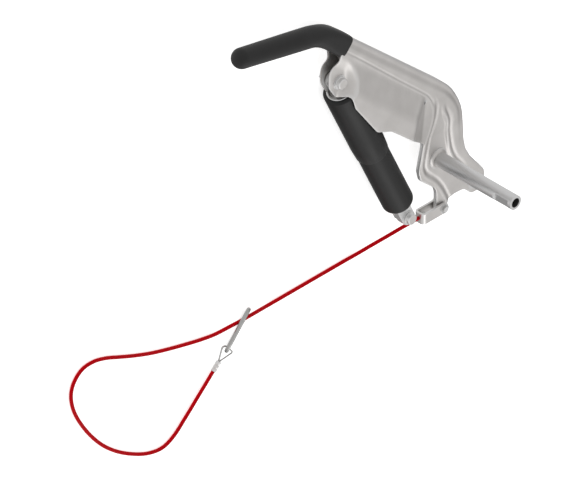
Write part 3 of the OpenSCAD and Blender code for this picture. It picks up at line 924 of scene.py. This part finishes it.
TIP = np.array([-344.0, 322])
ELBOW = np.array([-208.0, 292])
SLEEVE_END = np.array([-169.5, 257.6])
GRIP_R, GRIP_BEND = 14.3, 85.0
END_HALF, END_HALF_Z = 14.9, 14.0        # half sizes of the squarer section at the lever's end
END_REACH = (8, 62)                      # from the lever's end: where that section fades out
END_POWER = 2.6                          # how much squarer than an ellipse it is
TIP_SLIM, TIP_REACH = 0.035, (0, 90)     # how much slimmer the grip is at its tip
DOME_FLAT = 0.96                         # the tip's length for its radius
LIP_PAST = (0.2, 0.8, 1.3, 1.6, 1.7)     # the lip's rings past the sleeve's end,
LIP_SIZE = [0.99, 0.965, 0.925, 0.88, 0.82]      # and their sizes

# Along the strut from its upper bolt: cap, start of the taper, and ends of both sleeves
CAP_AT, TAPER_AT, OUTER_END, INNER_END = 21.5, 138.0, 157.0, 271.0
INNER_START = 112.0
OUTER_R, INNER_R = 22.8, 20.8
CAP_R, CAP_SEAT_R, SLIDE_GAP = 17.55, 17.65, 0.15
INNER_BORE_R, PLUG_HOLE_R = 18.4, 13.9
STRUT_LENGTH = 301.0
EYE_HALF = 5.0
WASHER = 1.5

COLLAR_R, COLLAR_REACH, COLLAR_RISE, COLLAR_BORE = 9.95, 4.5, 5.0, 9.8
FAR_COLLAR = 0.55                        # the far collar's reach, as a share of the near one's
CLEVIS_HALF, CLEVIS_BACK, CLEVIS_SHEET, CLEVIS_BEND, CLEVIS_R = 6.9, -30.0, 3.0, 3.4, 7.6
CLEVIS_ROWS = 12


def arc(centre, radius, start, finish, steps):
    """Points [along, radius] of an arc in a profile, angles in degrees from the axis."""
    angles = np.radians(np.linspace(start, finish, steps + 1))
    return [[centre[0] + radius * math.cos(a), centre[1] + radius * math.sin(a)] for a in angles]


def add_grip():
    """The bent sleeve: round with a domed tip, and squarer with a rolled lip at the lever."""
    line = resampled(rounded([[*TIP, 0], [*ELBOW, GRIP_BEND], [*SLEEVE_END, 0]], step=4), 3.0)
    way = unit2(ELBOW - TIP)
    out = unit2(SLEEVE_END - ELBOW)
    dome_angles = np.radians(np.arange(4, 90, 8))
    dome = [TIP - way * GRIP_R * math.cos(a) * DOME_FLAT for a in dome_angles]
    lip = [SLEEVE_END + out * d for d in LIP_PAST]
    whole = np.vstack([dome, line[:-1], [SLEEVE_END - out * 0.8], lip])
    scale = list(np.sin(dome_angles)) + [1.0] * len(line) + LIP_SIZE
    square = 1 - ramp(np.linalg.norm(whole - SLEEVE_END, axis=1), *END_REACH)
    slim = 1 - TIP_SLIM * (1 - ramp(np.linalg.norm(whole - TIP, axis=1), *TIP_REACH))

    def section(i, angle):
        """A rounded square that turns into a circle towards the tip."""
        c, s = math.cos(angle), math.sin(angle)
        power = 2 + END_POWER * square[i]
        half = GRIP_R * slim[i] + (END_HALF - GRIP_R) * square[i]
        half_z = GRIP_R * slim[i] + (END_HALF_Z - GRIP_R) * square[i]
        r = (abs(c / half) ** power + abs(s / half_z) ** power) ** (-1 / power)
        return r * c * scale[i], r * s * scale[i]

    path = np.column_stack([whole, np.zeros(len(whole))])
    grip = swept("grip", path, section, "lever", GRIP, sides=48)
    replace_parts(grip, "grip_sleeve")


def on_strut(name, profile, body, material):
    """A piece turned about the strut's axis, from its upper bolt."""
    return turned(name, profile, BOLT, STRUT_WAY, body, material)


def add_outer_sleeve():
    """The wide sleeve: round shoulder, long straight wall, slight taper and a thin lower lip."""
    bore = INNER_R + SLIDE_GAP
    seat = [CAP_AT + 4, CAP_SEAT_R]
    profile = [seat, [CAP_AT + 0.8, 17.7], [CAP_AT + 0.4, 18.1]]
    profile += arc((CAP_AT + 4.4, OUTER_R - 4), 4.0, 180, 90, 8)
    profile += [[60, OUTER_R], [100, OUTER_R], [TAPER_AT - 1.5, OUTER_R],
                [TAPER_AT + 1.5, OUTER_R - 0.12], [OUTER_END - 1.2, OUTER_R - 0.95],
                [OUTER_END - 0.3, OUTER_R - 1.2], [OUTER_END, OUTER_R - 1.6],
                [OUTER_END - 2, bore], [CAP_AT + 6, bore], seat]
    sleeve = on_strut("sleeve_outer", profile, "strut_barrel", SLEEVE)
    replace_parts(sleeve, "strut_outer_sleeve")


def add_inner_sleeve():
    """The narrow sleeve: it starts inside the wide one and ends in a rounded shoulder."""
    start, bore = INNER_START, INNER_BORE_R
    profile = [[start + 2, bore], [start + 0.2, bore + 0.2], [start, INNER_R - 0.5],
               [start + 0.6, INNER_R], [150, INNER_R], [200, INNER_R], [INNER_END - 7, INNER_R]]
    profile += arc((INNER_END - 6.5, INNER_R - 6.5), 6.5, 90, 0, 8)
    profile += [[INNER_END - 0.6, PLUG_HOLE_R], [INNER_END - 7, PLUG_HOLE_R],
                [INNER_END - 7, bore], [start + 2, bore]]
    sleeve = on_strut("sleeve_inner", profile, "strut_rod", SLEEVE)
    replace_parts(sleeve, "strut_inner_sleeve")


def add_strut_cap():
    """The strut's top cap with its raised rim."""
    r = CAP_R
    profile = [[CAP_AT + 1.2, 0], [CAP_AT + 1.2, r - 4.4], [CAP_AT + 0.9, r - 4],
               [CAP_AT + 0.3, r - 3.2], [CAP_AT, r - 2.4], [CAP_AT, r - 0.7], [CAP_AT + 0.5, r],
               [CAP_AT + 5, r], [CAP_AT + 8, r - 2], [CAP_AT + 8, 0]]
    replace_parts(on_strut("strut_cap", profile, "strut_barrel", ZINC), "strut_top_cap")


def add_tube_collar():
    """The soft fillet where the pivot tube meets each plate."""
    foot = PLATE - 1.5
    for sign, name in ((1, "near"), (-1, "far")):
        edge = COLLAR_R + COLLAR_REACH - 0.05
        profile = [[foot, COLLAR_BORE], [foot, edge], [PLATE - 0.1, edge]]
        for a in np.radians(np.linspace(0, 90, 9)):
            profile.append([PLATE + COLLAR_RISE * (1 - math.cos(a)),
                            COLLAR_R + COLLAR_REACH * (1 - math.sin(a))])
        profile.append([foot, COLLAR_BORE])
        if sign < 0:
            profile = [[along, min(radius, COLLAR_R + FAR_COLLAR * (radius - COLLAR_R))]
                       for along, radius in profile]
        collar = turned("collar_" + name, profile, (0, 0, 0), (0, 0, sign), "lever",
                        TUBE)
        if sign > 0:
            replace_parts(collar, "tube_weld_rings")


THREAD_R, THREAD_ROOT, THREAD_PITCH, THREADS, SHANK_R = 4.0, 3.55, 1.25, 7, 4.15
BELOW = 9.5              # how far the thread ends below the far side of the joint
FLANGE_R, HEAD_R, HEAD_H = 8.6, 7.4, 6.5


def bolt_profile(head, end):
    """Thread from its end up, shank, flange, and a round head with a shallow recess."""
    profile = [[end, 0], [end, THREAD_R - 1], [end + 0.9, THREAD_R]]
    for k in range(THREADS):
        at = end + 0.9 + THREAD_PITCH * k
        profile += [[at + 0.15, THREAD_R], [at + 0.65, THREAD_ROOT], [at + 1.1, THREAD_R]]
    profile += [[head - 0.2, SHANK_R], [head, SHANK_R], [head, FLANGE_R - 0.4],
                [head + 0.3, FLANGE_R], [head + 1.1, FLANGE_R], [head + 1.5, FLANGE_R - 0.4],
                [head + 1.6, HEAD_R + 0.2], [head + HEAD_H - 1.1, HEAD_R]]
    profile += arc((head + HEAD_H - 1.1, HEAD_R - 1.1), 1.1, 90, 0, 4)
    profile += [[head + HEAD_H, 5.2], [head + HEAD_H - 0.3, 4.9], [head + HEAD_H - 0.4, 0]]
    return profile


def add_bolts():
    """The two strut bolts, each with its head on the near side."""
    lower = BOLT + STRUT_WAY * STRUT_LENGTH
    for name, at, half, body, node in (
            ("bolt_upper", BOLT, EAR + WASHER, "lever", "strut_bolt_upper"),
            ("bolt_lower", lower, EYE_HALF + WASHER, "strut_rod", "strut_bolt_lower")):
        bolt = turned(name, bolt_profile(half, -half - BELOW), (at.x, at.y, 0), (0, 0, 1), body,
                      ZINC, sides=48, sharp=30)
        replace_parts(bolt, node)


def add_clevis():
    """Strip steel bent round the cable's stop, with round ends at the pin."""
    end = PIN.x + CLEVIS_R
    corners = [[end, CLEVIS_HALF, 0], [CLEVIS_BACK, CLEVIS_HALF, CLEVIS_BEND],
               [CLEVIS_BACK, -CLEVIS_HALF, CLEVIS_BEND], [end, -CLEVIS_HALF, 0]]
    line = resampled(rounded(corners, step=10), 1.6)
    rows = CLEVIS_ROWS
    verts, faces = [], []
    for x, z in line:
        past = max(0.0, x - PIN.x)
        tall = math.sqrt(max(CLEVIS_R ** 2 - past ** 2, 0.35))
        for k in range(rows + 1):
            verts.append(Vector((x, PIN.y + tall * (2 * k / rows - 1), z)) * MM)
    for i in range(len(line) - 1):
        for k in range(rows):
            a = i * (rows + 1) + k
            faces.append((a, a + 1, a + rows + 2, a + rows + 1))
    mesh = bpy.data.meshes.new("clevis")
    mesh.from_pydata(verts, [], faces)
    clevis = new_object("clevis", mesh, "cable_end", ZINC)
    solid = clevis.modifiers.new("sheet", "SOLIDIFY")
    solid.thickness = CLEVIS_SHEET * MM
    solid.offset = 0
    bevel = clevis.modifiers.new("edges", "BEVEL")
    bevel.width = 0.5 * MM
    bevel.segments = 2
    bevel.limit_method = "ANGLE"
    applied(clevis)
    finished(clevis, sharp=50)
    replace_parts(clevis, "cable_clevis")


add_grip()
add_outer_sleeve()
add_inner_sleeve()
add_strut_cap()
add_tube_collar()
add_bolts()
add_clevis()
